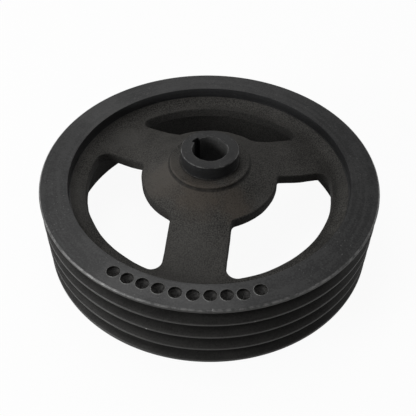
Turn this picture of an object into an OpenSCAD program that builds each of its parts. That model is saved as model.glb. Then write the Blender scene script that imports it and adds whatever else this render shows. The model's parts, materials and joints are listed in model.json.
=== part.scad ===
// Drive sheave: a one-piece iron casting with four V grooves, a dished web
// with three windows, and a bored hub with one keyway that stands above the rim.
// Millimetres. The bore runs up Z, and the lower face of the rim lies at Z = 0.

/* [Rim] */
// Outside diameter
rim_od = 340; // [300:1:420]
// Metal behind the floors of the grooves, above the web
upper_backing = 14; // [10:0.5:20]
// Metal behind the floors of the grooves, at the lower edge
lower_backing = 10.5; // [8:0.5:20]
// How far the counterbore cuts into the cast wall above the web
counterbore_cut = 0.5; // [0.3:0.1:3]
// Depth of the counterbore below the upper face
counterbore_depth = 10.4; // [4:0.1:14]
// Taper of the cast walls, in degrees
draft = 2; // [0:0.5:4]
// Chamfer round the upper outer edge
upper_chamfer = 1.5; // [0.5:0.1:2.5]
// Chamfer round the lower outer edge
lower_chamfer = 0.5; // [0.3:0.1:2]
// Chamfer of the lower inner edge
inner_chamfer = 4.5; // [1:0.5:8]

/* [Grooves] */
// Number of V grooves
groove_count = 4; // [2:1:6]
// Distance from groove to groove
groove_pitch = 19; // [18:0.5:24]
// Distance from the rim's face to the middle of its first groove
groove_edge = 12; // [11:0.5:16]
// Width of a groove at the outside diameter
groove_w = 16.4; // [12:0.1:17]
// Depth of a groove
groove_depth = 14.5; // [8:0.5:16]
// Angle between the two flanks of a groove
groove_angle = 38; // [32:1:40]
// Corner radius at the floor of a groove
groove_round = 1; // [0.5:0.1:2]
// Broken edge at the mouth of a groove
groove_break = 0.4; // [0.2:0.1:0.8]

/* [Web] */
// Thickness of the web
web_t = 10.5; // [7:0.5:14]
// Depth of the web's upper side below the rim's face, at the rim's wall
web_depth = 17.3; // [16:0.1:26]
// Rise of the web from the rim's wall to the collar
web_rise = 30.4; // [12:0.1:36]
// Radius of the web's hollow curve
dish_radius = 190; // [150:1:400]
// Fillet between the web and the rim's wall, above
upper_fillet = 12; // [4:0.5:14]
// Fillets between the web and the walls, below
lower_fillet = 8; // [3:0.5:12]

/* [Windows and spokes] */
// Number of spokes, with a window between each two
spoke_count = 3; // [3:1:5]
// Width of a spoke
spoke_w = 59; // [30:1:70]
// Turn of the first spoke from the front
spoke_turn = -6.8; // [-30:0.1:30]
// Distance from the windows to the rim's wall
window_margin = 16.3; // [13:0.1:22]
// Diameter of the disc inside the windows
disc_d = 137.6; // [120:0.2:150]
// Corner radius of a window at the rim
window_outer_round = 10; // [4:0.5:14]
// Corner radius of a window at the disc
window_inner_round = 5.5; // [2:0.5:8]

/* [Hub] */
// Diameter of the turned hub
hub_d = 57; // [52:0.5:66]
// Height of the hub above the rim's face
hub_rise = 30.7; // [24:0.1:45]
// Length of the hub
hub_len = 75; // [68:1:84]
// Chamfer on the hub's ends
hub_chamfer = 1; // [0.5:0.1:2]
// Diameter of the cast hub at its lower end
low_hub_d = 68; // [60:1:78]
// Diameter of the raised collar round the hub
collar_d = 79.5; // [72:0.5:90]
// Height of the collar above the web's curve
collar_step = 2.9; // [2:0.1:6]
// Edge radius of the collar
collar_round = 1.2; // [0.5:0.1:1.8]
// Fillet at the foot of the collar
collar_fillet = 1.6; // [0.5:0.1:2]

/* [Bore and keyway] */
// Diameter of the bore
bore_d = 35; // [28:0.5:40]
// Width of the keyway
key_w = 8; // [6:0.5:12]
// Depth of the keyway beyond the bore
key_h = 3.3; // [2:0.1:4.5]
// Place of the keyway, in degrees from the X axis
key_angle = 138; // [0:1:359]

/* [Balance holes] */
// Diameter of a balance hole
balance_d = 12; // [6:0.2:13]
// Depth of a balance hole to the drill's shoulder
balance_depth = 2.6; // [1:0.1:4]
// Point angle of the drill
drill_angle = 118; // [90:1:140]
// Distance of the holes from the outside of the rim
balance_inset = 16.1; // [14:0.1:18]
// Places of the holes round the rim, in degrees from the front, drilled by hand
balance_at = [-32.6, -27.1, -21.7, -16.2, -10.5, -4.7, 0.8, 6.1, 11.3, 17.1];
// How far each of them strays from that circle
balance_stray = [0, 0, -0.7, -0.6, 0, 0.4, 0.1, 0.2, 1.3, 0];

/* [Hidden] */
overlap = 2;
// How far a fillet's round runs into what it blends, so that the two cross
blend = 0.03;
$fn = 180;
rim_r = rim_od/2;
rim_w = 2*groove_edge + (groove_count - 1)*groove_pitch;
floor_r = rim_r - groove_depth;
wall_r = floor_r - upper_backing;
low_wall_r = floor_r - lower_backing;
counterbore_r = wall_r + counterbore_cut;
window_r = wall_r - window_margin;
disc_r = disc_d/2;
hub_r = hub_d/2;
low_hub_r = low_hub_d/2;
collar_r = collar_d/2;
bore_r = bore_d/2;
hub_top = rim_w + hub_rise;
hub_bottom = hub_top - hub_len;
balance_r = balance_d/2;

// The web's upper side is one arc from the rim's wall to the collar
dish_low = [wall_r, rim_w - web_depth];
dish_high = [collar_r, rim_w - web_depth + web_rise];
dish_c = arc_centre(dish_low, dish_high, dish_radius);
under_c = dish_c - [0, web_t];
collar_top = dish_high[1] + collar_step;
collar_foot = dish_high[1] - web_t + overlap/2;
rim_foot = rim_w - web_depth - web_t/2;

// Centre, above them, of the arc of a given radius through two points
function arc_centre(a, b, rad) =
    let (half = norm(b - a)/2, along = (a - b)/norm(b - a))
    (a + b)/2 + sqrt(rad*rad - half*half)*[-along[1], along[0]];

// Centre of a fillet that touches a straight wall and the web's arc round c.
// The wall passes through p towards the web along u, and n points off it.
// side is 1 above the web and -1 below it.
function fillet_centre(p, u, n, rad, c, side) =
    let (off = rad - blend, q = p + off*n - c, b = q*u, reach = dish_radius - side*off)
    p + off*n + (side*sqrt(b*b - q*q + reach*reach) - b)*u;

// What fills the corner between that wall and the web, up to the fillet
module fillet_patch(p, u, n, rad, c, side) {
    f = fillet_centre(p, u, n, rad, c, side);
    d = side*(f - c)/norm(f - c);
    reach = rad + overlap;
    difference() {
        polygon([f, f - reach*n, f + reach*(d - n)/(1 - d*n), f + reach*d]);
        translate(f) circle(rad);
    }
}

// Section of one groove, from its floor to past the outside of the rim
module groove_section() {
    flank = groove_angle/2;
    mouth = groove_w/2;
    // Middle of the round in each corner of the floor
    in_x = floor_r + groove_round;
    in_y = mouth - groove_depth*tan(flank) - groove_round*tan(45 - flank/2);
    touch = [in_x - groove_round*sin(flank), in_y + groove_round*cos(flank)];
    edge = [rim_r - groove_break, mouth - groove_break*tan(flank)];
    lip = mouth + groove_break;
    polygon([
        [rim_r + overlap, -lip - overlap],
        [rim_r, -lip],
        [edge[0], -edge[1]],
        [touch[0], -touch[1]],
        [in_x, -in_y],
        [floor_r, -in_y],
        [floor_r, in_y],
        [in_x, in_y],
        touch,
        edge,
        [rim_r, lip],
        [rim_r + overlap, lip + overlap]
    ]);
    for (s = [-1, 1])
        translate([in_x, s*in_y]) circle(groove_round, $fn = 48);
}

module rim_section() {
    lean = tan(draft);
    difference() {
        union() {
            polygon([
                [rim_r - lower_chamfer, 0],
                [rim_r, lower_chamfer],
                [rim_r, rim_w - upper_chamfer],
                [rim_r - upper_chamfer, rim_w],
                [wall_r + web_depth*lean, rim_w],
                [wall_r, rim_w - web_depth],
                [wall_r, rim_foot],
                [low_wall_r - (rim_foot - inner_chamfer)*lean, rim_foot],
                [low_wall_r, inner_chamfer],
                [low_wall_r + inner_chamfer, 0]
            ]);
            fillet_patch([wall_r + web_depth*lean, rim_w], [-sin(draft), -cos(draft)],
                [-cos(draft), sin(draft)], upper_fillet, dish_c, 1);
            fillet_patch([low_wall_r, inner_chamfer], [-sin(draft), cos(draft)],
                [-cos(draft), -sin(draft)], lower_fillet, under_c, -1);
        }
        translate([0, rim_w - counterbore_depth])
            square([counterbore_r, counterbore_depth + overlap]);
        for (i = [0:groove_count - 1])
            translate([0, rim_w - groove_edge - i*groove_pitch]) groove_section();
    }
}

module web_section() {
    from = collar_r - overlap;
    intersection() {
        difference() {
            translate(under_c) circle(dish_radius, $fn = 720);
            translate(dish_c) circle(dish_radius, $fn = 720);
        }
        translate([from, 0]) square([max(wall_r, low_wall_r) + overlap - from, hub_top]);
    }
}

module hub_section() {
    difference() {
        union() {
            polygon([
                [bore_r + hub_chamfer, hub_bottom],
                [low_hub_r - hub_chamfer, hub_bottom],
                [low_hub_r, hub_bottom + hub_chamfer],
                [low_hub_r + (collar_foot - hub_bottom - hub_chamfer)*tan(draft), collar_foot],
                [collar_r, collar_foot],
                [collar_r, collar_top],
                [hub_r, collar_top],
                [hub_r, hub_top - hub_chamfer],
                [hub_r - hub_chamfer, hub_top],
                [bore_r + hub_chamfer, hub_top],
                [bore_r, hub_top - hub_chamfer],
                [bore_r, hub_bottom + hub_chamfer]
            ]);
            fillet_patch([collar_r, collar_top], [0, -1], [1, 0], collar_fillet, dish_c, 1);
            fillet_patch([low_hub_r, hub_bottom + hub_chamfer], [sin(draft), cos(draft)],
                [cos(draft), -sin(draft)], lower_fillet, under_c, -1);
        }
        // Rounded edge of the collar
        translate([collar_r - collar_round, collar_top - collar_round]) difference() {
            square(collar_round + overlap);
            circle(collar_round, $fn = 48);
        }
    }
}

// Ring of windows seen from above, with the first spoke along X
module window_shapes() {
    half = spoke_w/2;
    difference() {
        circle(window_r, $fn = 360);
        circle(disc_r, $fn = 360);
        for (k = [0:spoke_count - 1], s = [-1, 1]) rotate(k*360/spoke_count) {
            translate([0, -half]) square([window_r + overlap, spoke_w]);
            window_corner(window_outer_round, window_r, -1, window_r + overlap, s);
            window_corner(window_inner_round, disc_r, 1, sqrt(disc_r*disc_r - half*half) - overlap, s);
        }
    }
}

// Metal left in a window's corner. Its round touches the spoke's side s and the
// circle of edge_r, which it lies outside for side = 1 and inside for side = -1.
// end_x lies past the corner.
module window_corner(rad, edge_r, side, end_x, s) {
    half = spoke_w/2;
    off = rad - blend;
    centre_r = edge_r + side*off;
    c = [sqrt(centre_r*centre_r - (half + off)*(half + off)), s*(half + off)];
    inside = s*(half - overlap);
    difference() {
        polygon([c, [c[0], inside], [end_x, inside], c*(edge_r - side*overlap)/centre_r]);
        translate(c) circle(rad, $fn = 96);
    }
}

module blank() {
    rotate_extrude($fn = 360) rim_section();
    rotate_extrude($fn = 360) web_section();
    rotate_extrude($fn = 360) hub_section();
}

module keyway() {
    rotate(key_angle) translate([0, -key_w/2, hub_bottom - overlap])
        cube([bore_r + key_h, key_w, hub_len + 2*overlap]);
}

// Shallow holes, each with the cone that its drill leaves
module balance_holes() {
    tip = balance_r/tan(drill_angle/2);
    for (i = [0:len(balance_at) - 1])
        rotate(balance_at[i] - 90)
            translate([rim_r - balance_inset + balance_stray[i], 0, rim_w - balance_depth]) {
                cylinder(h = balance_depth + overlap, r = balance_r, $fn = 48);
                translate([0, 0, -tip]) cylinder(h = tip, r1 = 0, r2 = balance_r, $fn = 48);
            }
}

module sheave() {
    color([0.21, 0.2, 0.19]) difference() {
        blank();
        rotate(spoke_turn - 90) linear_extrude(hub_top) window_shapes();
        keyway();
        balance_holes();
    }
}

sheave();
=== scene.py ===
import json
import math

import bmesh
import bpy
from mathutils import Matrix, Vector


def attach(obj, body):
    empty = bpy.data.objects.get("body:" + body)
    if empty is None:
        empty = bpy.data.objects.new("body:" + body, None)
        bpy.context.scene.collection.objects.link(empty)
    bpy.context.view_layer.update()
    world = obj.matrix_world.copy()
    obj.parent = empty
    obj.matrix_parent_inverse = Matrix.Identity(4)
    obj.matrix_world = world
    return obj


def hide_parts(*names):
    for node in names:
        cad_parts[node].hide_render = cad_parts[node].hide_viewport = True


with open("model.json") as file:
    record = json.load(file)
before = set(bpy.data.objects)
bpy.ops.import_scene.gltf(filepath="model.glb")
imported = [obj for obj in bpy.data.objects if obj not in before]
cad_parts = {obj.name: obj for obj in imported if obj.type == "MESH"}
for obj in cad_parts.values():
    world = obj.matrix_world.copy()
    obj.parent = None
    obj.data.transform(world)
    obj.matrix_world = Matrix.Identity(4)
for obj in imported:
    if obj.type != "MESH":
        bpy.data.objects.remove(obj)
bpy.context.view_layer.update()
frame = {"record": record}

mm = 0.001  # the scene is in metres, the dictionaries below in millimetres
bore = next(m for m in frame["record"]["mounts"] if m["name"] == "bore")


# Small tools for selecting and editing

def clearSelection():
    if bpy.context.object and bpy.context.object.mode != "OBJECT":
        bpy.ops.object.mode_set(mode="OBJECT")
    bpy.ops.object.select_all(action="DESELECT")


def pick(obj):
    clearSelection()
    obj.select_set(True)
    bpy.context.view_layer.objects.active = obj


def editMesh(obj, kind="VERT"):
    pick(obj)
    bpy.ops.object.mode_set(mode="EDIT")
    bpy.ops.mesh.select_mode(type=kind)
    bpy.ops.mesh.select_all(action="DESELECT")
    return bmesh.from_edit_mesh(obj.data)


def applyAll(obj):
    pick(obj)
    for modifier in list(obj.modifiers):
        bpy.ops.object.modifier_apply(modifier=modifier.name)


def joinInto(target, others):
    pick(target)
    for obj in others:
        obj.select_set(True)
    bpy.ops.object.join()
    return target


# A plane is merged to one vertex, which is extruded from point to point and then closed
def drawOutline(name, points):
    clearSelection()
    bpy.ops.mesh.primitive_plane_add(size=mm, location=(0, 0, 0))
    obj = bpy.context.object
    obj.name = name
    bpy.ops.object.mode_set(mode="EDIT")
    bpy.ops.mesh.select_mode(type="VERT")
    bpy.ops.mesh.merge(type="CENTER")
    here = Vector((0, 0, 0))
    for number, point in enumerate(points):
        target = Vector(point) * mm
        if number == 0:
            bpy.ops.transform.translate(value=target)
        else:
            bpy.ops.mesh.extrude_region_move(TRANSFORM_OT_translate={"value": target - here})
        here = target
    mesh = bmesh.from_edit_mesh(obj.data)
    for vertex in mesh.verts:
        vertex.select = len(vertex.link_edges) == 1
    mesh.select_flush_mode()
    bpy.ops.mesh.edge_face_add()
    bpy.ops.object.mode_set(mode="OBJECT")
    return obj


def spinOutline(obj, steps):
    editMesh(obj)
    bpy.ops.mesh.select_all(action="SELECT")
    bpy.ops.mesh.spin(steps=steps, angle=2 * math.pi, center=(0, 0, 0), axis=(0, 0, 1))
    bpy.ops.mesh.select_all(action="SELECT")
    bpy.ops.mesh.remove_doubles(threshold=0.001 * mm)
    bpy.ops.mesh.normals_make_consistent(inside=False)
    bpy.ops.object.mode_set(mode="OBJECT")


# The casting: its section is drawn once and spun round the bore

casting = {
    "outerRadius": 170, "rimWidth": 81,
    "counterboreRadius": 142, "counterboreDepth": 10.4,
    "wallRadius": 141.5, "lowWallRadius": 145, "draft": 2,
    "faceChamfer": 1.5, "lowChamfer": 0.5, "innerChamfer": 4.5, "edgeBreak": 0.4, "counterboreBreak": 0.2,
    "wornEdge": (0.4, 0.45),  # where the face's chamfer bulges, in shares of its size
    "grooves": 4, "groovePitch": 19, "grooveEdge": 12, "grooveMouth": 16.4,
    "grooveDepth": 14.5, "grooveAngle": 38, "grooveRound": 1,
    "webThickness": 10.5, "webDepth": 17.3, "webRise": 30.4, "dishRadius": 190,
    "upperFillet": 12, "lowerFillet": 8, "webStep": 3.2,
    # the hub is a millimetre longer at each end than the bore's stated wall, and turned above hubSideFrom
    "hubRadius": 28.5, "hubRise": 30.7, "hubLength": bore["dims"]["length_mm"] + 2, "hubSideFrom": 100,
    "hubChamfer": 0.8, "hubFootRound": 0.8, "lowHubRadius": 34,
    "collarRadius": 39.75, "collarStep": 2.9, "collarRound": 1.2, "collarFillet": 1.6,
    "boreRadius": bore["dims"]["r_mm"], "boreChamfer": 0.5,
    # steps round the bore, then along each fillet and straight of the section
    "spinSteps": 288, "footSteps": 3, "collarSteps": 4, "upperFilletSteps": 7, "faceSteps": 5,
    "flankSteps": 3, "grooveFloorSteps": 3, "wallSteps": 10, "wallFilletSteps": 6, "hubFilletSteps": 7,
    "hubSideSteps": 9,
    "sharpAngle": 33,
}
casting["hubTop"] = casting["rimWidth"] + casting["hubRise"]
casting["hubBottom"] = casting["hubTop"] - casting["hubLength"]


def dishCentre():
    high = Vector((casting["collarRadius"], casting["rimWidth"] - casting["webDepth"] + casting["webRise"]))
    low = Vector((casting["wallRadius"], casting["rimWidth"] - casting["webDepth"]))
    half = (high - low).length / 2
    along = (low - high).normalized()
    up = math.sqrt(casting["dishRadius"] ** 2 - half ** 2)
    return (low + high) / 2 + up * Vector((-along.y, along.x))


webCentre = dishCentre()
underCentre = webCentre - Vector((0, casting["webThickness"]))


def webTop(radius):
    return webCentre.y - math.sqrt(casting["dishRadius"] ** 2 - (webCentre.x - radius) ** 2)


# Middle of the fillet between the web's arc round centre and a wall through point.
# The wall runs towards the web along toWeb, and outward points off it.
def filletMiddle(point, toWeb, outward, radius, centre, side):
    fromCentre = point + radius * outward - centre
    reach = casting["dishRadius"] - side * radius
    along = fromCentre.dot(toWeb)
    drop = side * math.sqrt(along ** 2 - fromCentre.length_squared + reach ** 2) - along
    return point + radius * outward + drop * toWeb


def arc(centre, start, end, steps):
    centre = Vector(centre)
    radius = (Vector(start) - centre).length
    first = math.atan2(start[1] - centre.y, start[0] - centre.x)
    turn = math.atan2(end[1] - centre.y, end[0] - centre.x) - first
    turn = (turn + math.pi) % (2 * math.pi) - math.pi
    angles = [first + turn * i / steps for i in range(steps + 1)]
    return [centre + radius * Vector((math.cos(a), math.sin(a))) for a in angles]


def stretch(start, end, steps):
    return [Vector(start).lerp(Vector(end), i / steps) for i in range(steps + 1)]


# One groove, from its upper lip down to its lower one
def groovePoints(middle):
    flank = math.radians(casting["grooveAngle"] / 2)
    outer, edge, rounding = casting["outerRadius"], casting["edgeBreak"], casting["grooveRound"]
    mouth = casting["grooveMouth"] / 2
    floor = outer - casting["grooveDepth"]
    inY = mouth - casting["grooveDepth"] * math.tan(flank) - rounding * math.tan(math.pi / 4 - flank / 2)
    centre = Vector((floor + rounding, inY))
    touch = centre + rounding * Vector((-math.sin(flank), math.cos(flank)))
    lip = Vector((outer - edge, mouth - edge * math.tan(flank)))
    half = [Vector((outer, mouth + edge))] + stretch(lip, touch, casting["flankSteps"])
    half += arc(centre, touch, (floor, inY), casting["grooveFloorSteps"])[1:]
    return [(r, middle + z) for r, z in half] + [(r, middle - z) for r, z in reversed(half)]


def sectionPoints():
    c = casting
    lean = math.radians(c["draft"])
    rimWidth, outer, hubTop, hubBottom = c["rimWidth"], c["outerRadius"], c["hubTop"], c["hubBottom"]
    collarTop = webTop(c["collarRadius"]) + c["collarStep"]
    stepFoot = rimWidth - c["counterboreDepth"]
    points = []

    # hub above the web, from the bore outwards
    points += [(c["boreRadius"], hubTop - c["boreChamfer"]), (c["boreRadius"] + c["boreChamfer"], hubTop)]
    points += [(c["hubRadius"] - c["hubChamfer"], hubTop), (c["hubRadius"], hubTop - c["hubChamfer"])]
    foot = c["hubFootRound"]
    points += arc((c["hubRadius"] + foot, collarTop + foot), (c["hubRadius"], collarTop + foot),
                  (c["hubRadius"] + foot, collarTop), c["footSteps"])

    # collar, with its rounded edge and the fillet at its foot
    edge = c["collarRound"]
    points += arc((c["collarRadius"] - edge, collarTop - edge), (c["collarRadius"] - edge, collarTop),
                  (c["collarRadius"], collarTop - edge), c["collarSteps"])
    down, out = Vector((0, -1)), Vector((1, 0))
    middle = filletMiddle(Vector((c["collarRadius"], collarTop)), down, out, c["collarFillet"], webCentre, 1)
    onWeb = webCentre + c["dishRadius"] * (middle - webCentre).normalized()
    points += arc(middle, middle - c["collarFillet"] * out, onWeb, c["collarSteps"])

    # upper side of the web, then the fillet up to the counterbore
    down = Vector((-math.sin(lean), -math.cos(lean)))
    out = Vector((-math.cos(lean), math.sin(lean)))
    wall = Vector((c["wallRadius"] + c["webDepth"] * math.tan(lean), rimWidth))
    middle = filletMiddle(wall, down, out, c["upperFillet"], webCentre, 1)
    webEnd = webCentre + c["dishRadius"] * (middle - webCentre).normalized()
    steps = round((webEnd - onWeb).length / c["webStep"])
    points += arc(webCentre, onWeb, webEnd, steps)[1:]
    reach = math.sqrt(c["upperFillet"] ** 2 - (stepFoot - middle.y) ** 2)
    points += arc(middle, webEnd, (middle.x + reach, stepFoot), c["upperFilletSteps"])[1:]

    # counterbore, rim face and worn outer edge
    edge = c["counterboreBreak"]
    points += [(c["counterboreRadius"], stepFoot), (c["counterboreRadius"], rimWidth - edge)]
    chamfer = c["faceChamfer"]
    inwards, below = c["wornEdge"]
    points += stretch((c["counterboreRadius"] + edge, rimWidth), (outer - chamfer, rimWidth), c["faceSteps"])
    points += [(outer - inwards * chamfer, rimWidth - below * chamfer), (outer, rimWidth - chamfer)]

    # grooves, then the lower edge and the lower face
    for number in range(c["grooves"]):
        points += groovePoints(rimWidth - c["grooveEdge"] - number * c["groovePitch"])
    points += [(outer, c["lowChamfer"]), (outer - c["lowChamfer"], 0)]
    points += [(c["lowWallRadius"] + c["innerChamfer"], 0)]

    # cast wall and fillet up to the web's lower side
    up, out = Vector((-math.sin(lean), math.cos(lean))), Vector((-math.cos(lean), -math.sin(lean)))
    wall = Vector((c["lowWallRadius"], c["innerChamfer"]))
    middle = filletMiddle(wall, up, out, c["lowerFillet"], underCentre, -1)
    onWall = middle - c["lowerFillet"] * out
    webEnd = underCentre + c["dishRadius"] * (middle - underCentre).normalized()
    points += stretch(wall, onWall, c["wallSteps"])
    points += arc(middle, onWall, webEnd, c["wallFilletSteps"])[1:]

    # lower side of the web, then the hub below it
    up, out = Vector((math.sin(lean), math.cos(lean))), Vector((math.cos(lean), -math.sin(lean)))
    hubFoot = Vector((c["lowHubRadius"], hubBottom + c["hubChamfer"]))
    middle = filletMiddle(hubFoot, up, out, c["lowerFillet"], underCentre, -1)
    onHub = middle - c["lowerFillet"] * out
    webStart = underCentre + c["dishRadius"] * (middle - underCentre).normalized()
    steps = round((webStart - webEnd).length / c["webStep"])
    points += arc(underCentre, webEnd, webStart, steps)[1:]
    points += arc(middle, webStart, onHub, c["hubFilletSteps"])[1:]
    points += stretch(onHub, hubFoot, c["hubSideSteps"])[1:]
    points += [(c["lowHubRadius"] - c["hubChamfer"], hubBottom)]
    points += [(c["boreRadius"] + c["boreChamfer"], hubBottom)]
    points += [(c["boreRadius"], hubBottom + c["boreChamfer"])]
    return [(p[0], 0, p[1]) for p in points]


# Windows between the spokes: the cutter's sides flare over the web's edges, so that
# they come out rounded as cast

windows = {
    "count": 3, "spokeWidth": 59, "firstSpoke": -96.8,
    "outerRadius": 125.2, "discRadius": 68.8, "outerRound": 10, "innerRound": 5.5,
    "upperEdgeRound": 1.3, "lowerEdgeRound": 1, "above": 90, "below": 46,
    # how far out of the outline and past the web's face the cutter runs, in shares of the edge's round
    "meet": (0.83, 0.02), "flare": (1.35, 0.1), "roundTurns": (0, 30, 60),
    "discCornerSteps": 6, "sideSteps": 14, "rimCornerSteps": 9, "rimSteps": 36, "discSteps": 20,
}


def windowOutline():
    w = windows
    half = w["spokeWidth"] / 2
    outSide, inSide = half + w["outerRound"], half + w["innerRound"]
    outMiddle = Vector((math.sqrt((w["outerRadius"] - w["outerRound"]) ** 2 - outSide ** 2), outSide))
    inMiddle = Vector((math.sqrt((w["discRadius"] + w["innerRound"]) ** 2 - inSide ** 2), inSide))
    onRim = outMiddle.normalized() * w["outerRadius"]
    onDisc = inMiddle.normalized() * w["discRadius"]
    side = arc(inMiddle, onDisc, (inMiddle.x, half), w["discCornerSteps"])
    side += stretch((inMiddle.x, half), (outMiddle.x, half), w["sideSteps"])[1:]
    side += arc(outMiddle, (outMiddle.x, half), onRim, w["rimCornerSteps"])[1:]
    bisector = math.pi / w["count"]
    flip = Matrix(((math.cos(2 * bisector), math.sin(2 * bisector)),
                   (math.sin(2 * bisector), -math.cos(2 * bisector))))
    other = [flip @ p for p in reversed(side)]
    outside = arc((0, 0), onRim, other[0], w["rimSteps"])[1:-1]
    return side + outside + other + arc((0, 0), other[-1], onDisc, w["discSteps"])[1:-1]


def makeWindowCutter(name):
    outline = windowOutline()
    obj = drawOutline(name, [(p.x, p.y, windows["below"]) for p in outline])
    last = len(outline)
    outward = []
    for i in range(last):
        along = (outline[(i + 1) % last] - outline[i - 1]).normalized()
        outward.append(Vector((along.y, -along.x)))
    mesh = editMesh(obj)
    order = mesh.verts.layers.int.new("order")
    for vertex in mesh.verts:
        here = vertex.co.xy / mm
        vertex[order] = min(range(last), key=lambda i: (outline[i] - here).length)
    bpy.ops.mesh.select_all(action="SELECT")
    bpy.ops.mesh.edge_face_add()

    # how far each ring stands off the outline and over the web's upper or lower side
    low, high = windows["lowerEdgeRound"], windows["upperEdgeRound"]
    under = -casting["webThickness"]
    meet, meetRise = windows["meet"]
    flare, flareRise = windows["flare"]
    rounded = [(1 - math.cos(turn), 1 - math.sin(turn)) for turn in map(math.radians, windows["roundTurns"])]
    rings = [(flare * low, under - flareRise * low), (meet * low, under + meetRise * low)]
    rings += [(low * out, under + low * short) for out, short in reversed(rounded)]
    rings += [(high * out, -high * short) for out, short in rounded]
    rings += [(meet * high, -meetRise * high), (flare * high, flareRise * high), (flare * high, None)]
    for offset, height in rings:
        bpy.ops.mesh.extrude_region_move(TRANSFORM_OT_translate={"value": (0, 0, mm)})
        mesh = bmesh.from_edit_mesh(obj.data)
        order = mesh.verts.layers.int["order"]
        for vertex in mesh.verts:
            if vertex.select:
                place = outline[vertex[order]] + offset * outward[vertex[order]]
                level = windows["above"] if height is None else webTop(place.length) + height
                vertex.co = Vector((place.x, place.y, level)) * mm
        bmesh.update_edit_mesh(obj.data)

    # the lowest ring flares as well, then the cutter is turned to its place
    mesh = bmesh.from_edit_mesh(obj.data)
    order = mesh.verts.layers.int["order"]
    for vertex in mesh.verts:
        if abs(vertex.co.z - windows["below"] * mm) < 0.01 * mm:
            place = outline[vertex[order]] + flare * low * outward[vertex[order]]
            vertex.co = Vector((place.x, place.y, windows["below"])) * mm
    bpy.ops.mesh.select_all(action="SELECT")
    bpy.ops.mesh.normals_make_consistent(inside=False)
    bpy.ops.transform.rotate(value=-math.radians(windows["firstSpoke"]), orient_axis="Z",
                             orient_type="GLOBAL", center_override=(0, 0, 0))
    bpy.ops.object.mode_set(mode="OBJECT")
    return obj


# Each copy has a mesh of its own, turned round the bore
def turnedCopy(obj, name, angle, shift=(0, 0, 0)):
    pick(obj)
    bpy.ops.object.duplicate(linked=False)
    made = bpy.context.object
    made.name = name
    made.data.transform(Matrix.Rotation(angle, 4, "Z") @ Matrix.Translation(Vector(shift)))
    return made


# Balance holes drilled by hand in the rim's face, each with a burr round its mouth

balanceHoles = {
    "radius": 6, "depth": 2.6, "pointAngle": 118, "fromOutside": 16.1,
    "anglesFromFront": [-32.6, -27.1, -21.7, -16.2, -10.5, -4.7, 0.8, 6.1, 11.3, 17.1],
    "strays": [0, 0, -0.7, -0.6, 0, 0.4, 0.1, 0.2, 1.3, 0],
    "sides": 32, "overshoot": 4,
    # the drill's cone in two steps, as shares of its radius and its point
    "coneSteps": ((0.9, 0.9), (0.08, 0.03)),
    # the burr starts inside the hole and below the face, and slopes down outwards by shares of its size
    "burrWidth": 0.7, "burrHeight": 0.2, "burrRoot": 0.5, "burrLip": 0.55, "burrSunk": 0.4, "burrFoot": 0.05,
    "burrSlope": ((0.55, 0.75), (0.8, 0.3)),
}


def makeDrill():
    h = balanceHoles
    top = casting["rimWidth"]
    tip = h["radius"] / math.tan(math.radians(h["pointAngle"] / 2))
    shoulder = top - h["depth"]
    length = h["depth"] + h["overshoot"]
    clearSelection()
    bpy.ops.mesh.primitive_cylinder_add(vertices=h["sides"], radius=h["radius"] * mm, depth=length * mm,
                                        location=(0, 0, (shoulder + length / 2) * mm))
    drill = bpy.context.object
    drill.name = "drill"
    bpy.ops.object.transform_apply(location=True, rotation=False, scale=False)
    mesh = editMesh(drill, "FACE")
    for face in mesh.faces:
        face.select = face.normal.z < -0.5
    for inwards, down in h["coneSteps"]:
        bpy.ops.mesh.inset(thickness=h["radius"] * inwards * mm, depth=0)
        bpy.ops.transform.translate(value=(0, 0, -tip * down * mm))
    bpy.ops.object.mode_set(mode="OBJECT")
    return drill


def makeBurr():
    h = balanceHoles
    top = casting["rimWidth"]
    inside, width, height = h["radius"] - h["burrRoot"], h["burrWidth"] + h["burrRoot"], h["burrHeight"]
    points = [(inside, top - h["burrSunk"]), (inside, top + height), (inside + h["burrLip"], top + height)]
    points += [(inside + out * width, top + up * height) for out, up in h["burrSlope"]]
    points += [(inside + width, top - h["burrFoot"]), (inside + width, top - h["burrSunk"])]
    burr = drawOutline("burr", [(r, 0, z) for r, z in points])
    spinOutline(burr, h["sides"])
    return burr


def atHoles(obj, name):
    made = []
    places = zip(balanceHoles["anglesFromFront"], balanceHoles["strays"])
    for number, (angle, stray) in enumerate(places):
        out = casting["outerRadius"] - balanceHoles["fromOutside"] + stray
        made.append(turnedCopy(obj, f"{name}{number}", math.radians(angle - 90), (out * mm, 0, 0)))
    return joinInto(made[0], made[1:])


# Keyway through the hub, and dents where the rim's edge was knocked

keyway = {"width": 8, "depth": 3.3, "angle": 138, "cornerRound": 0.35, "overshoot": 3}
dents = {
    # angle from the front, radius, height, then length, width and depth
    "places": [
        (82.7, 169.4, 80.9, 3.4, 1.6, 1.6), (33.9, 169, 81.1, 5.2, 1.7, 1.5),
        (1.3, 168.6, 81.2, 3.6, 2.2, 1.4), (-47, 169.5, 80.8, 3.6, 1.5, 1.5),
        (-63, 169.6, 80.6, 2.2, 1.3, 1.3), (57, 170.3, 81, 2.6, 1.2, 1.2), (128, 170.2, 81.1, 3, 1.4, 1.3),
        (-152, 170.2, 81, 3.4, 1.3, 1.3), (14, 170.4, 59.5, 2.8, 1.3, 1.1),
        (-18.8, 170.2, 40.4, 3.4, 1.4, 1.3), (-72, 170.4, 21.5, 2.6, 1.2, 1.2),
    ],
    "tilt": 0.4,
}


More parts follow.
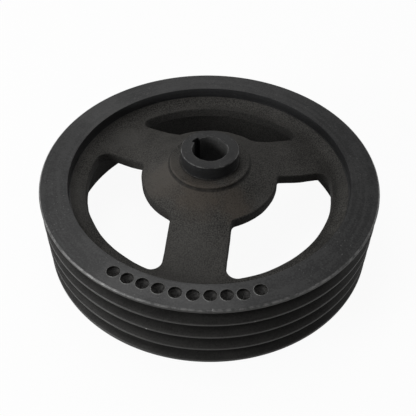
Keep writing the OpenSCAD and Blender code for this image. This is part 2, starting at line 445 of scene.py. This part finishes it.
def makeKeyCutter():
    clearSelection()
    length = casting["hubLength"] + 2 * keyway["overshoot"]
    middle = casting["hubBottom"] - keyway["overshoot"] + length / 2
    reach = casting["boreRadius"] + keyway["depth"]
    bpy.ops.mesh.primitive_cube_add(size=mm, location=(reach / 2 * mm, 0, middle * mm),
                                    scale=(reach, keyway["width"], length))
    key = bpy.context.object
    key.name = "keyCutter"
    bpy.ops.object.transform_apply(location=True, rotation=False, scale=True)
    mesh = editMesh(key, "EDGE")
    for edge in mesh.edges:
        upright = abs(edge.verts[0].co.z - edge.verts[1].co.z) > mm
        edge.select = upright and edge.verts[0].co.x > mm
    bpy.ops.mesh.bevel(offset=keyway["cornerRound"] * mm, segments=2, affect="EDGES")
    bpy.ops.object.mode_set(mode="OBJECT")
    key.data.transform(Matrix.Rotation(math.radians(keyway["angle"]), 4, "Z"))
    return key


def makeDentCutters():
    made = []
    for number, (angle, radius, height, length, width, depth) in enumerate(dents["places"]):
        clearSelection()
        bpy.ops.mesh.primitive_ico_sphere_add(subdivisions=2, radius=0.5 * mm, location=(0, 0, 0))
        dent = bpy.context.object
        dent.name = f"dent{number}"
        turn = Matrix.Rotation(math.radians(angle - 90), 4, "Z")
        place = Matrix.Translation(Vector((radius, 0, height)) * mm)
        tilt = Matrix.Rotation(dents["tilt"], 4, "Y")
        dent.data.transform(turn @ place @ tilt @ Matrix.Diagonal((width, length, depth, 1)))
        made.append(dent)
    return joinInto(made[0], made[1:])


# Shader groups that the finishes share

def addNode(tree, kind, **settings):
    made = tree.nodes.new("ShaderNode" + kind)
    for name, value in settings.items():
        setattr(made, name, value)
    return made


def feed(tree, socket, value):
    if isinstance(value, bpy.types.NodeSocket):
        tree.links.new(value, socket)
    elif value is not None:
        socket.default_value = value


def calc(tree, operation, first, second=None, clamp=False):
    made = addNode(tree, "Math", operation=operation, use_clamp=clamp)
    for socket, value in zip(made.inputs, (first, second)):
        feed(tree, socket, value)
    return made.outputs[0]


def ramp(tree, value, low, high, outLow=0, outHigh=1):
    made = addNode(tree, "MapRange", interpolation_type="SMOOTHSTEP")
    settings = {"Value": value, "From Min": low, "From Max": high, "To Min": outLow, "To Max": outHigh}
    for name, setting in settings.items():
        feed(tree, made.inputs[name], setting)
    return made.outputs[0]


def mixOf(tree, first, share, second):
    return calc(tree, "ADD", calc(tree, "MULTIPLY", first, share), calc(tree, "MULTIPLY", second, 1 - share))


def distance(tree, across, along):
    square = calc(tree, "ADD", calc(tree, "MULTIPLY", across, across), calc(tree, "MULTIPLY", along, along))
    return calc(tree, "SQRT", square)


def blendColour(tree, factor, first, second, mode="MIX"):
    made = addNode(tree, "Mix", data_type="RGBA", blend_type=mode)
    feed(tree, made.inputs[0], factor)
    feed(tree, made.inputs[6], first)
    feed(tree, made.inputs[7], second)
    return made.outputs[2]


def noise(tree, vector, scale, detail, roughness):
    made = addNode(tree, "TexNoise")
    settings = {"Vector": vector, "Scale": scale, "Detail": detail, "Roughness": roughness}
    for name, setting in settings.items():
        feed(tree, made.inputs[name], setting)
    return made.outputs[0]


def newGroup(name, inputs, outputs):
    group = bpy.data.node_groups.new(name, "ShaderNodeTree")
    for label, value in inputs:
        socket = group.interface.new_socket(label, in_out="INPUT", socket_type="NodeSocketFloat")
        socket.default_value = value
    for label in outputs:
        group.interface.new_socket(label, in_out="OUTPUT", socket_type="NodeSocketFloat")
    return group, group.nodes.new("NodeGroupInput"), group.nodes.new("NodeGroupOutput")


def useGroup(tree, name, **settings):
    made = addNode(tree, "Group", node_tree=bpy.data.node_groups[name])
    for label, value in settings.items():
        feed(tree, made.inputs[label], value)
    return made


def objectMillimetres(tree):
    place = addNode(tree, "TexCoord").outputs["Object"]
    scaled = addNode(tree, "VectorMath", operation="SCALE")
    feed(tree, scaled.inputs[0], place)
    scaled.inputs["Scale"].default_value = 1 / mm
    return scaled.outputs[0]


# Noises are scale per millimetre, detail and roughness. Masks are where they start and end
patterns = {
    # how many feeds wide each kind of ring is, and its detail
    "turned": {"Marks": (1, 3), "Bands": (7, 1)}, "turnedRoughness": 0.6,
    "grain": (0.5, 4, 0.65), "pitScale": 0.22, "pitMask": (0.08, 0.32), "mottle": (0.045, 4, 0.62),
    "edgeMask": (1, 0.35), "edgeNoise": (0.16, 4, 0.7), "edgePatches": (0.4, 0.62),
    "stainAndLightNoise": (0.06, 4, 0.6), "stainAndLightMask": (1, 0.2),
    "chipNoise": (0.55, 2, 0.5), "chipMask": (0.66, 0.74),
    "chipPlaces": (0.03, 2, 0.5), "chipAreas": (0.45, 0.62),
}


# Place on the lathe, in millimetres from the axis and up it, and the turn round it
def buildLathePlace():
    group, _, end = newGroup("lathePlace", [], ["Radius", "Height", "Turn"])
    split = addNode(group, "SeparateXYZ")
    feed(group, split.inputs[0], objectMillimetres(group))
    x, y, z = split.outputs
    feed(group, end.inputs["Radius"], distance(group, x, y))
    feed(group, end.inputs["Height"], z)
    feed(group, end.inputs["Turn"], calc(group, "ARCTAN2", y, x))


# Rings that the tool leaves, with a little wander round the part
def buildTurningMarks():
    group, start, end = newGroup("turningMarks", [("Feed", 0.6), ("Wander", 1.5)], ["Marks", "Bands"])
    place = useGroup(group, "lathePlace")
    wander = calc(group, "MULTIPLY", place.outputs["Turn"], start.outputs["Wander"])
    for label, (stretched, detail) in patterns["turned"].items():
        step = calc(group, "MULTIPLY", start.outputs["Feed"], stretched)
        vector = addNode(group, "CombineXYZ")
        feed(group, vector.inputs[0], calc(group, "DIVIDE", place.outputs["Radius"], step))
        feed(group, vector.inputs[1], calc(group, "DIVIDE", place.outputs["Height"], step))
        feed(group, vector.inputs[2], wander)
        rings = noise(group, vector.outputs[0], 1, detail, patterns["turnedRoughness"])
        feed(group, end.inputs[label], rings)


# Sand-cast skin: a fine grain, small pits, and a slow mottle
def buildCastSkin():
    group, start, end = newGroup("castSkin", [("Grain", 0.9)], ["Grains", "Pits", "Mottle"])
    place = objectMillimetres(group)
    scale, detail, roughness = patterns["grain"]
    scale = calc(group, "DIVIDE", scale, start.outputs["Grain"])
    feed(group, end.inputs["Grains"], noise(group, place, scale, detail, roughness))
    cells = addNode(group, "TexVoronoi", feature="F1")
    feed(group, cells.inputs["Vector"], place)
    feed(group, cells.inputs["Scale"], calc(group, "DIVIDE", patterns["pitScale"], start.outputs["Grain"]))
    feed(group, end.inputs["Pits"], ramp(group, cells.outputs["Distance"], *patterns["pitMask"]))
    feed(group, end.inputs["Mottle"], noise(group, place, *patterns["mottle"]))


# Wear along one turned edge, broken up by a noise. The same band also paints the shade at the feet of the hub
# and its collar
def buildEdgeWear():
    labels = [("EdgeRadius", 170), ("EdgeHeight", 81), ("Reach", 1.5), ("Patchiness", 0.5)]
    group, start, end = newGroup("edgeWear", labels, ["Wear"])
    place = useGroup(group, "lathePlace")
    across = calc(group, "SUBTRACT", place.outputs["Radius"], start.outputs["EdgeRadius"])
    up = calc(group, "SUBTRACT", place.outputs["Height"], start.outputs["EdgeHeight"])
    far = calc(group, "DIVIDE", distance(group, across, up), start.outputs["Reach"])
    near = ramp(group, far, *patterns["edgeMask"])
    spots = noise(group, objectMillimetres(group), *patterns["edgeNoise"])
    patch = ramp(group, spots, *patterns["edgePatches"])
    kept = calc(group, "SUBTRACT", 1, start.outputs["Patchiness"])
    broken = calc(group, "ADD", kept, calc(group, "MULTIPLY", patch, start.outputs["Patchiness"]))
    feed(group, end.inputs["Wear"], calc(group, "MULTIPLY", near, broken))


# A soft-edged patch round one point, in millimetres, for real stains and for patches of painted light,
# painted shade and painted highlight
def buildStain():
    labels = [("X", 0), ("Y", 0), ("Size", 30), ("Spread", 0.5)]
    group, start, end = newGroup("stain", labels, ["Mask"])
    place = objectMillimetres(group)
    split = addNode(group, "SeparateXYZ")
    feed(group, split.inputs[0], place)
    across = calc(group, "SUBTRACT", split.outputs[0], start.outputs["X"])
    along = calc(group, "SUBTRACT", split.outputs[1], start.outputs["Y"])
    far = calc(group, "DIVIDE", distance(group, across, along), start.outputs["Size"])
    # the noise runs from 0 to 1, so it is doubled about its middle
    ragged = calc(group, "SUBTRACT", noise(group, place, *patterns["stainAndLightNoise"]), 0.5)
    ragged = calc(group, "MULTIPLY", ragged, 2)
    rough = calc(group, "ADD", far, calc(group, "MULTIPLY", ragged, start.outputs["Spread"]))
    feed(group, end.inputs["Mask"], ramp(group, rough, *patterns["stainAndLightMask"]))


# Small bright specks where the oiled surface was chipped
def buildSpecks():
    group, _, end = newGroup("specks", [], ["Mask"])
    place = objectMillimetres(group)
    chips = ramp(group, noise(group, place, *patterns["chipNoise"]), *patterns["chipMask"])
    areas = ramp(group, noise(group, place, *patterns["chipPlaces"]), *patterns["chipAreas"])
    feed(group, end.inputs["Mask"], calc(group, "MULTIPLY", chips, areas))


# Finishes. Each is one dictionary and one material. A span is the part of a noise that a ramp spreads

turnedFinish = {
    "colour": (0.016, 0.016, 0.0163, 1), "lightColour": (0.0335, 0.0335, 0.0335, 1),
    # the worn colour also paints the highlight patches listed below
    "wornAndHighlightColour": (0.15, 0.15, 0.147, 1), "colourSpan": (0.35, 0.65),
    "banded": 0.5, "grain": 0.8, "speckle": 4.8,
    "metallic": 0.1, "specular": 0.35, "roughness": (0.34, 0.46), "roughnessSpan": (0.3, 0.7),
    "feed": 0.55, "bump": 0.35, "bumpDepth": 0.03,
    # painted shade in the grooves: how much of the colour is left at a groove's floor, and how far under the
    # lands the painted shade starts
    "paintedFloorShade": 1, "darkensBelow": 1,
    # radius, height, reach and patchiness of each worn edge
    "edges": [(169.4, 80.4, 1.5, 0.7), (28.1, 111.3, 0.8, 0.85), (18, 111.5, 0.6, 0.8)],
    "specks": 0.6,
    # x, y, size and spread of each patch lightened as painted highlight, partly rubbing wear
    "rubbedAndHighlight": [(-128, 104, 52, 0.5), (-74, -150, 44, 0.5), (-8, -167, 46, 0.5)], "rubbedAndHighlightBy": 0.13,
}
grooveFinish = turnedFinish | {
    "colour": (0.0215, 0.021, 0.02, 1), "lightColour": (0.038, 0.0372, 0.0354, 1),
    "wornAndHighlightColour": (0.075, 0.075, 0.0725, 1), "speckle": 3.8,
    # a groove's floor keeps 0.12 of the colour, as painted shade
    "specular": 0.3, "roughness": (0.4, 0.54), "feed": 0.9, "bump": 0.5, "paintedFloorShade": 0.12,
    "edges": [(170.1, 57, 1.5, 0.5), (170.1, 38, 1.5, 0.5), (170.1, 19, 1.5, 0.5), (170.1, 76.5, 2, 0.6),
              (170.1, 1.2, 1.2, 0.6)],
    "specks": 0.4, "rubbedAndHighlight": [],
}
# the hub's end is a little darker and scratched
hubEndFinish = turnedFinish | {
    "colour": (0.0105, 0.0105, 0.0107, 1), "lightColour": (0.0205, 0.0205, 0.0205, 1),
    "wornAndHighlightColour": (0.1, 0.1, 0.098, 1), "specular": 0.25, "specks": 1, "rubbedAndHighlight": [],
    "edges": [(28.1, 111.3, 0.7, 0.95), (18, 111.5, 0.5, 1)],
}
# painted light: the bore's colour is lifted well above the face's, for the light that reaches inside it
boreFinish = turnedFinish | {
    "colour": (0.05, 0.05, 0.0495, 1), "lightColour": (0.08, 0.08, 0.079, 1), "specks": 0, "rubbedAndHighlight": [],
}
# the hub's side, the counterbore's wall and the keyway are oily
oiledFinish = turnedFinish | {
    "colour": (0.0125, 0.0128, 0.0135, 1), "lightColour": (0.02, 0.0204, 0.0212, 1),
    "specks": 0.2, "rubbedAndHighlight": [],
}
castFinish = {
    "colour": (0.0115, 0.0109, 0.01, 1), "lightColour": (0.062, 0.0593, 0.0545, 1),
    "darkColour": (0.005, 0.0048, 0.0044, 1), "colourSpan": (0.38, 0.62), "mottled": 0.12, "grain": 0.62,
    "metallic": 0.05, "specular": 0.2, "roughness": (0.6, 0.8), "roughnessSpan": (0.3, 0.7),
    "bump": 1, "bumpDepth": 0.25, "pitted": 0.3, "pitDepth": 0.4,
    # x, y, size and spread of each brown stain, patch of painted shade and patch of painted light
    "stains": [(-42, -20, 32, 0.5), (-12, -44, 30, 0.5), (24, -50, 26, 0.6)],
    "stainColour": (0.058, 0.0475, 0.038, 1), "stained": 0.65,
    "paintedShadePatches": [(134, 8, 44, 0.5), (118, -88, 32, 0.5)], "paintedShadeBy": 0.3,
    "paintedLightPatches": [(-22, -104, 58, 0.4), (58, -44, 24, 0.5), (-46, -14, 34, 0.6), (-92, 66, 30, 0.6),
              (-128, -24, 44, 0.5)],
    "paintedLightColour": (0.064, 0.062, 0.058, 1), "paintedLightBy": 0.4,
    # radius, height and reach of the painted shade at the feet of the hub and its collar
    "paintedFootShade": [(40.6, 94.1, 2.4), (29.2, 97, 1.6)], "paintedFootShadeBy": 0.8, "paintedFootShadePatchiness": 0.3,
}
# painted shade: a darker copy of the cast finish for the web's lower side, the windows' walls and the rim's
# inside
shadedCastFinish = castFinish | {
    "colour": (0.0095, 0.0091, 0.0085, 1), "lightColour": (0.044, 0.0424, 0.0391, 1),
    "stains": [], "paintedShadePatches": [], "paintedLightPatches": [], "paintedFootShade": [],
}
drilledFinish = {
    "colour": (0.006, 0.0058, 0.0055, 1), "lightColour": (0.042, 0.0405, 0.038, 1),
    "colourSpan": (0.4, 0.6), "grain": 0.7, "bump": 0.8, "bumpDepth": 0.08,
    "metallic": 0.2, "specular": 0.4, "roughness": (0.45, 0.65), "roughnessSpan": (0.35, 0.65),
}
brightFinish = drilledFinish | {
    "colour": (0.07, 0.07, 0.068, 1), "lightColour": (0.14, 0.14, 0.137, 1),
    "metallic": 0.5, "specular": 0.5, "roughness": (0.32, 0.45), "grain": 0.5, "bump": 0.3,
}
knockedFinish = brightFinish | {"colour": (0.08, 0.08, 0.079, 1), "lightColour": (0.2, 0.2, 0.197, 1)}


def newFinish(name, finish):
    material = bpy.data.materials.new(name)
    material.use_nodes = True
    tree = material.node_tree
    shader = tree.nodes["Principled BSDF"]
    shader.inputs["Metallic"].default_value = finish["metallic"]
    shader.inputs["Specular IOR Level"].default_value = finish["specular"]
    return material, tree, shader


# Colour, roughness between the finish's two values, and bump
def coat(tree, shader, finish, colour, unevenness, height):
    feed(tree, shader.inputs["Base Color"], colour)
    rough = ramp(tree, unevenness, *finish["roughnessSpan"], *finish["roughness"])
    feed(tree, shader.inputs["Roughness"], rough)
    made = addNode(tree, "Bump")
    made.inputs["Strength"].default_value = finish["bump"]
    made.inputs["Distance"].default_value = finish["bumpDepth"] * mm
    feed(tree, made.inputs["Height"], height)
    feed(tree, shader.inputs["Normal"], made.outputs[0])


def edgeMask(tree, radius, height, reach, patchiness):
    settings = {"EdgeRadius": radius, "EdgeHeight": height, "Reach": reach, "Patchiness": patchiness}
    return useGroup(tree, "edgeWear", **settings).outputs[0]


def stainAndLightMask(tree, x, y, size, spread):
    return useGroup(tree, "stain", X=x, Y=y, Size=size, Spread=spread).outputs[0]


def makeTurned(name, finish):
    material, tree, shader = newFinish(name, finish)
    marks = useGroup(tree, "turningMarks", Feed=finish["feed"])
    skin = useGroup(tree, "castSkin", Grain=finish["grain"])
    light = mixOf(tree, marks.outputs["Bands"], finish["banded"], skin.outputs["Mottle"])
    speckle = calc(tree, "SUBTRACT", skin.outputs["Grains"], 0.5)
    speckle = calc(tree, "MULTIPLY", speckle, finish["speckle"])
    light = calc(tree, "ADD", ramp(tree, light, *finish["colourSpan"]), speckle, clamp=True)
    colour = blendColour(tree, light, finish["colour"], finish["lightColour"])

    # painted shade, darker towards the floor of a groove
    radius = useGroup(tree, "lathePlace").outputs["Radius"]
    outer = casting["outerRadius"]
    floor = outer - casting["grooveDepth"]
    depth = ramp(tree, radius, floor, outer - finish["darkensBelow"], finish["paintedFloorShade"], 1)
    colour = blendColour(tree, 1, colour, depth, "MULTIPLY")

    # worn edges, chips and patches of painted highlight with some rubbing wear, whichever shows most
    wearAndHighlight = calc(tree, "MULTIPLY", useGroup(tree, "specks").outputs[0], finish["specks"])
    for edge in finish["edges"]:
        wearAndHighlight = calc(tree, "MAXIMUM", wearAndHighlight, edgeMask(tree, *edge))
    for patch in finish["rubbedAndHighlight"]:
        rubbedAndHighlight = calc(tree, "MULTIPLY", stainAndLightMask(tree, *patch), finish["rubbedAndHighlightBy"])
        wearAndHighlight = calc(tree, "MAXIMUM", wearAndHighlight, rubbedAndHighlight)
    colour = blendColour(tree, wearAndHighlight, colour, finish["wornAndHighlightColour"])
    coat(tree, shader, finish, colour, marks.outputs["Marks"], marks.outputs["Marks"])
    return material


def makeCast(name, finish):
    material, tree, shader = newFinish(name, finish)
    skin = useGroup(tree, "castSkin", Grain=finish["grain"])
    tint = mixOf(tree, skin.outputs["Mottle"], finish["mottled"], skin.outputs["Grains"])
    light = ramp(tree, tint, *finish["colourSpan"])
    colour = blendColour(tree, light, finish["colour"], finish["lightColour"])
    # brown stains, then patches of painted shade and patches of painted light
    kinds = [("stains", "stainColour", "stained"), ("paintedShadePatches", "darkColour", "paintedShadeBy")]
    kinds += [("paintedLightPatches", "paintedLightColour", "paintedLightBy")]
    for places, paint, strength in kinds:
        for patch in finish[places]:
            mask = calc(tree, "MULTIPLY", stainAndLightMask(tree, *patch), finish[strength])
            colour = blendColour(tree, mask, colour, finish[paint])
    # painted shade in the corners at the feet of the hub and its collar
    for corner in finish["paintedFootShade"]:
        mask = edgeMask(tree, *corner, finish["paintedFootShadePatchiness"])
        mask = calc(tree, "MULTIPLY", mask, finish["paintedFootShadeBy"])
        colour = blendColour(tree, mask, colour, finish["darkColour"])
    pits = calc(tree, "SUBTRACT", 1, skin.outputs["Pits"])
    colour = blendColour(tree, calc(tree, "MULTIPLY", pits, finish["pitted"]), colour, finish["darkColour"])
    pitDepth = calc(tree, "MULTIPLY", skin.outputs["Pits"], finish["pitDepth"])
    height = calc(tree, "ADD", skin.outputs["Grains"], pitDepth)
    coat(tree, shader, finish, colour, skin.outputs["Grains"], height)
    return material


def makeSpeckled(name, finish):
    material, tree, shader = newFinish(name, finish)
    grains = useGroup(tree, "castSkin", Grain=finish["grain"]).outputs["Grains"]
    light = ramp(tree, grains, *finish["colourSpan"])
    colour = blendColour(tree, light, finish["colour"], finish["lightColour"])
    coat(tree, shader, finish, colour, grains, grains)
    return material


for buildGroup in (buildLathePlace, buildTurningMarks, buildCastSkin, buildEdgeWear, buildStain, buildSpecks):
    buildGroup()
turnedIron = makeTurned("turnedIron", turnedFinish)
hubEndIron = makeTurned("hubEndIron", hubEndFinish)
boreIron = makeTurned("boreIron", boreFinish)
oiledIron = makeTurned("oiledIron", oiledFinish)
grooveIron = makeTurned("grooveIron", grooveFinish)
castIron = makeCast("castIron", castFinish)
underIron = makeCast("underIron", shadedCastFinish)
drilledIron = makeSpeckled("drilledIron", drilledFinish)
brightIron = makeSpeckled("brightIron", brightFinish)
knockedIron = makeSpeckled("knockedIron", knockedFinish)
finishes = [turnedIron, grooveIron, castIron, underIron, hubEndIron, oiledIron, boreIron]
finishes += [drilledIron, brightIron, knockedIron]
print("finishes made:", ", ".join(material.name for material in finishes))


# The margins are in millimetres, and fall between the rings of the section
def isCastPlace(radius, height):
    c = casting
    onFace = radius > c["counterboreRadius"] - 2 and height > c["rimWidth"] - c["counterboreDepth"] - 0.1
    onHub = radius < c["hubRadius"] + 1 and height > c["hubSideFrom"]
    onHubEnd = radius < c["lowHubRadius"] + 0.5 and height < c["hubBottom"] + 0.6
    between = c["hubRadius"] + 0.1 < radius < c["lowWallRadius"] + 0.3
    return between and height > c["innerChamfer"] - 0.1 and not onFace and not onHub and not onHubEnd


def finishAt(radius, height):
    c = casting
    inGroove = radius > c["outerRadius"] - c["grooveDepth"] - 0.5
    if inGroove and c["lowChamfer"] < height < c["rimWidth"] - c["faceChamfer"] - 0.1:
        return grooveIron
    if isCastPlace(radius, height):
        # below the web, the cast finish's darker copy paints the shade
        return castIron if height > webTop(radius) - 2 else underIron
    onHubSide = abs(radius - c["hubRadius"]) < 0.5 and height < c["hubTop"] - c["hubChamfer"]
    onStep = abs(radius - c["counterboreRadius"]) < 0.1 and height < c["rimWidth"] - 0.1
    if onHubSide or onStep:
        return oiledIron
    if radius < c["boreRadius"] + 0.1:
        return boreIron
    return hubEndIron if radius < c["hubRadius"] and height > c["hubTop"] - 1 else turnedIron


def paintFaces(obj):
    slots = list(obj.data.materials)
    for face in obj.data.polygons:
        middle = face.center / mm
        face.material_index = slots.index(finishAt(math.hypot(middle.x, middle.y), middle.z))


def cutWith(obj, cutter, operation, material):
    cutter.data.materials.clear()
    cutter.data.materials.append(material)
    modifier = obj.modifiers.new(cutter.name, "BOOLEAN")
    modifier.operation = operation
    modifier.solver = "EXACT"
    modifier.material_mode = "TRANSFER"
    modifier.object = cutter
    applyAll(obj)
    print(operation.lower(), "with", cutter.name, "leaves", len(obj.data.polygons), "faces")
    bpy.data.objects.remove(cutter)


def makeCasting():
    body = drawOutline("sheaveCasting", sectionPoints())
    print("section drawn with", len(body.data.vertices), "points")
    spinOutline(body, casting["spinSteps"])
    for material in finishes:
        body.data.materials.append(material)
    paintFaces(body)
    print("section spun to", len(body.data.polygons), "faces")

    cutWith(body, atHoles(makeBurr(), "burr"), "UNION", brightIron)
    window = makeWindowCutter("window")
    turns = [2 * math.pi * k / windows["count"] for k in range(1, windows["count"])]
    others = [turnedCopy(window, f"window{number}", turn) for number, turn in enumerate(turns)]
    # the windows' walls take the cast finish's darker copy, as painted shade
    cutWith(body, joinInto(window, others), "DIFFERENCE", underIron)
    cutWith(body, makeKeyCutter(), "DIFFERENCE", oiledIron)
    cutWith(body, atHoles(makeDrill(), "hole"), "DIFFERENCE", drilledIron)
    cutWith(body, makeDentCutters(), "DIFFERENCE", knockedIron)
    print("windows, keyway, holes and dents cut,", len(body.data.polygons), "faces")
    return body


# The cast skin is a little uneven, which shows in its shading and at the windows' edges.
# Each layer has the size and the height of its unevenness
castUnevenness = {"castWaves": (22, 0.9), "castLumps": (5, 0.3)}


def roughenCastSkin(body):
    group = body.vertex_groups.new(name="cast")
    smooth = set()
    for face in body.data.polygons:
        if body.data.materials[face.material_index] not in (castIron, underIron):
            smooth.update(face.vertices)
    group.add([v.index for v in body.data.vertices if v.index not in smooth], 1, "ADD")
    for name, (size, strength) in castUnevenness.items():
        clouds = bpy.data.textures.new(name, "CLOUDS")
        clouds.noise_scale = size * mm
        clouds.noise_depth = 2
        modifier = body.modifiers.new(name, "DISPLACE")
        modifier.texture = clouds
        modifier.texture_coords = "LOCAL"
        modifier.vertex_group = "cast"
        modifier.strength = strength * mm
        modifier.mid_level = 0.5
    applyAll(body)
    body.vertex_groups.clear()


sheave = makeCasting()
roughenCastSkin(sheave)
for name in ("burr", "drill"):  # only their copies were used
    bpy.data.objects.remove(bpy.data.objects[name])
pick(sheave)
bpy.ops.object.shade_smooth_by_angle(angle=math.radians(casting["sharpAngle"]))
weighted = sheave.modifiers.new("flatFaces", "WEIGHTED_NORMAL")
weighted.keep_sharp = True
applyAll(sheave)
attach(sheave, "root")
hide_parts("sheave")
print("casting finished")


# Floor, light and camera

stageValues = {
    # size in metres, drop in millimetres
    "floorSize": 60, "floorDrop": 0.3, "floorColour": (0.85, 0.85, 0.85, 1), "worldStrength": 0.1,
    # how white the floor and the world look to the camera, and in a reflection
    "shown": 0.94, "floorMirrored": 0.3, "worldMirrored": 0.15,
}
softBoxes = {
    # in metres
    "distance": 1.5, "size": 0.8, "middle": (0, 0, 0.05), "aim": (0, 0, 0.06),
    # degrees round from the back, degrees up, and power of each one
    "lamps": {
        "frontLeft": (-120, 18, 16.6), "overheadLeft": (-90, 70, 4), "overhead": (-30, 70, 3.6),
        "backHigh": (-10, 52, 2.1), "lowRight": (115, 18, 2), "lowBackRight": (60, 18, 4),
        "lowBack": (0, 18, 0.9), "lowBackLeft": (-60, 18, 3.2),
    },
}
# place in metres, turns in radians, focal length in pixels of the picture's width
camera = {
    "place": (0, -0.48564, 0.53079), "down": 0.80247, "yaw": -0.00234, "roll": -0.01312, "focal": 653.66,
    "pictureWidth": 416, "sensor": 36, "nearest": 0.01,
}


# White to the camera, and a share of it in reflections. The light that falls on the casting doesn't change
def whiteness(tree, mirrored):
    rays = addNode(tree, "LightPath")
    seen = calc(tree, "ADD", rays.outputs["Is Camera Ray"], rays.outputs["Is Transmission Ray"], clamp=True)
    shown = calc(tree, "MULTIPLY", seen, stageValues["shown"])
    return calc(tree, "MAXIMUM", shown, calc(tree, "MULTIPLY", rays.outputs["Is Glossy Ray"], mirrored))


def makeFloor():
    clearSelection()
    place = (0, 0, -stageValues["floorDrop"] * mm)
    bpy.ops.mesh.primitive_plane_add(size=stageValues["floorSize"], location=place)
    floor = bpy.context.object
    floor.name = "floor"
    material = bpy.data.materials.new("paleFloor")
    material.use_nodes = True
    tree = material.node_tree
    tree.nodes.clear()
    diffuse = addNode(tree, "BsdfDiffuse")
    diffuse.inputs[0].default_value = stageValues["floorColour"]
    white = addNode(tree, "Emission")
    mixed = addNode(tree, "MixShader")
    feed(tree, mixed.inputs[0], whiteness(tree, stageValues["floorMirrored"]))
    feed(tree, mixed.inputs[1], diffuse.outputs[0])
    feed(tree, mixed.inputs[2], white.outputs[0])
    feed(tree, addNode(tree, "OutputMaterial").inputs[0], mixed.outputs[0])
    floor.data.materials.append(material)


def makeLamps():
    for name, (around, up, power) in softBoxes["lamps"].items():
        data = bpy.data.lights.new(name, "AREA")
        data.shape = "DISK"
        data.size = softBoxes["size"]
        data.energy = power
        lamp = bpy.data.objects.new(name, data)
        bpy.context.scene.collection.objects.link(lamp)
        around, up = math.radians(around), math.radians(up)
        away = Vector((math.cos(up) * math.sin(around), math.cos(up) * math.cos(around), math.sin(up)))
        lamp.location = Vector(softBoxes["middle"]) + softBoxes["distance"] * away
        towards = Vector(softBoxes["aim"]) - lamp.location
        lamp.rotation_euler = towards.to_track_quat("-Z", "Y").to_euler()


def makeWorld():
    world = bpy.data.worlds.new("studio")
    bpy.context.scene.world = world
    world.use_nodes = True
    tree = world.node_tree
    background = tree.nodes["Background"]
    background.inputs["Color"].default_value = (1, 1, 1, 1)
    shown = whiteness(tree, stageValues["worldMirrored"])
    feed(tree, background.inputs["Strength"], calc(tree, "MAXIMUM", shown, stageValues["worldStrength"]))


def makeCamera():
    data = bpy.data.cameras.new("camera")
    data.sensor_width = camera["sensor"]
    data.lens = camera["focal"] / camera["pictureWidth"] * camera["sensor"]
    data.clip_start = camera["nearest"]
    eye = bpy.data.objects.new("camera", data)
    bpy.context.scene.collection.objects.link(eye)
    turn = Matrix.Rotation(-camera["yaw"], 4, "Z") @ Matrix.Rotation(math.pi / 2 - camera["down"], 4, "X")
    turn = turn @ Matrix.Rotation(-camera["roll"], 4, "Z")
    eye.matrix_world = Matrix.Translation(camera["place"]) @ turn
    bpy.context.scene.camera = eye


makeFloor()
makeLamps()
makeWorld()
makeCamera()
bpy.context.scene.view_settings.view_transform = "Standard"
print("stage and camera set")
